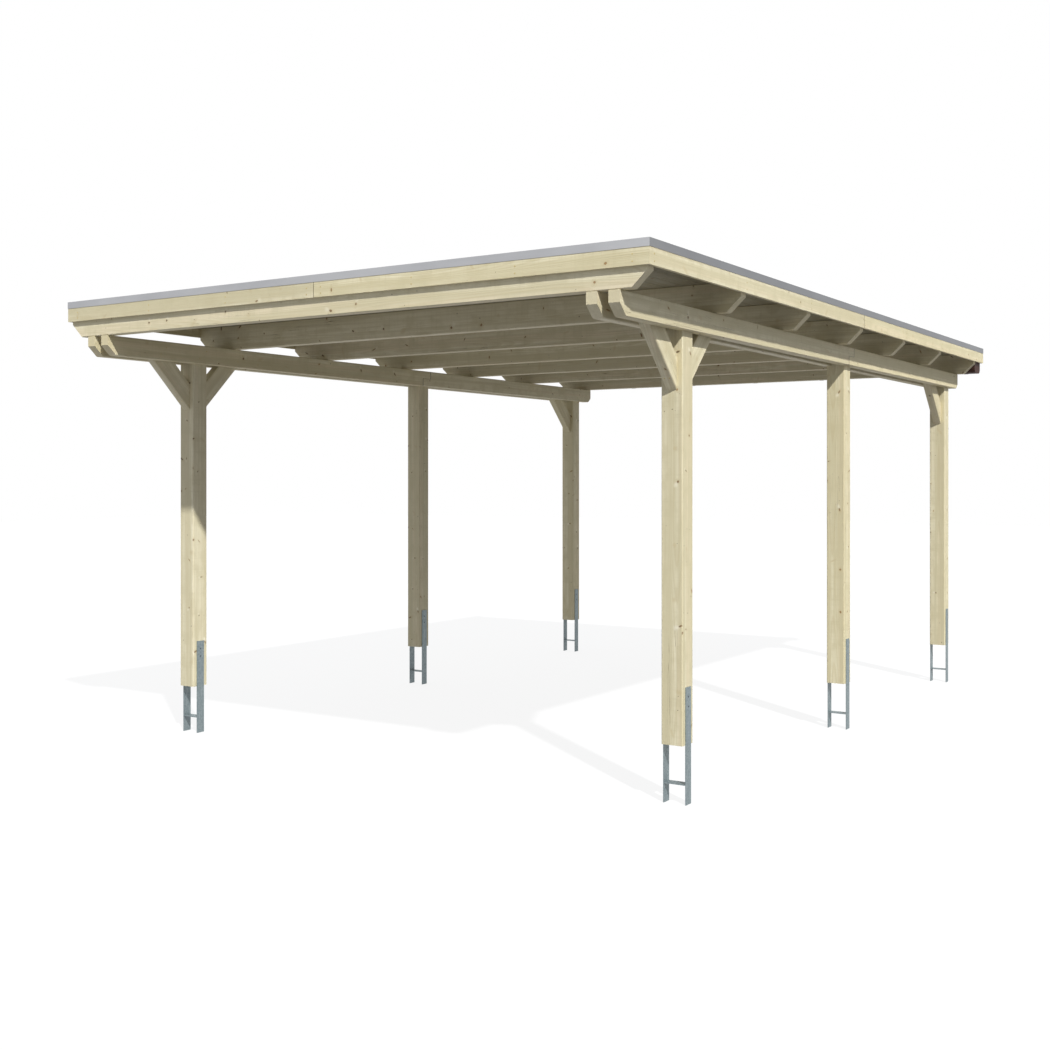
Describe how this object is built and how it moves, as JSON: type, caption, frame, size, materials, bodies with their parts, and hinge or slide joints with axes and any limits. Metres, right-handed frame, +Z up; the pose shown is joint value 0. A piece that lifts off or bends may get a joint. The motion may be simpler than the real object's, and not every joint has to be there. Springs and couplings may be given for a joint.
{
  "type": "timber carport",
  "caption": "Open timber carport with a flat roof, metal edge trim and a rear gutter, carried by braced posts, paired purlins and rafters on steel H-shaped anchors.",
  "frame": {"origin": "on the ground, at the level of the anchors' lower ends, below the middle of the roof's outline", "axes": "+X to the right as seen from the open front, +Y from the front to the gutter side, +Z up"},
  "size_m": [4.04, 6.04, 2.755],
  "materials": {
    "post": "planed pale spruce, untreated, matt",
    "purlin": "planed pale spruce, untreated, matt",
    "brace_leading": "planed pale spruce, untreated, matt",
    "brace_trailing": "planed pale spruce, untreated, matt",
    "rafter": "planed pale spruce, untreated, matt",
    "deck": "planed pale spruce, untreated, matt",
    "fascia_front": "planed pale spruce, untreated, matt",
    "fascia_side": "planed pale spruce, untreated, matt",
    "anchor": "hot-dip galvanised, dull",
    "membrane": "grey sealing sheet, matt",
    "trim": "plain folded sheet, satin",
    "gutter": "dark brown plastic"
  },
  "bodies": {
    "root": {"post_left_front": "post", "post_left_middle": "post", "post_left_back": "post", "post_right_front": "post", "post_right_middle": "post", "post_right_back": "post", "anchor_left_front": "anchor", "anchor_left_middle": "anchor", "anchor_left_back": "anchor", "anchor_right_front": "anchor", "anchor_right_middle": "anchor", "anchor_right_back": "anchor", "purlin_left_outer_front": "purlin", "purlin_left_outer_back": "purlin", "purlin_left_inner_front": "purlin", "purlin_left_inner_back": "purlin", "purlin_right_outer_front": "purlin", "purlin_right_outer_back": "purlin", "purlin_right_inner_front": "purlin", "purlin_right_inner_back": "purlin", "brace_left_front_leading": "brace_leading", "brace_left_front_trailing": "brace_trailing", "brace_left_back_leading": "brace_leading", "brace_right_front_leading": "brace_leading", "brace_right_front_trailing": "brace_trailing", "brace_right_back_leading": "brace_leading", "rafter_1": "rafter", "rafter_2": "rafter", "rafter_3": "rafter", "rafter_4": "rafter", "rafter_5": "rafter", "rafter_6": "rafter", "rafter_7": "rafter", "roof_deck": "deck", "roof_membrane": "membrane", "fascia_front_left": "fascia_front", "fascia_front_right": "fascia_front", "fascia_left_front": "fascia_side", "fascia_left_back": "fascia_side", "fascia_right_front": "fascia_side", "fascia_right_back": "fascia_side", "trim_front": "trim", "trim_left": "trim", "trim_right": "trim", "gutter": "gutter"}
  },
  "joints": []
}
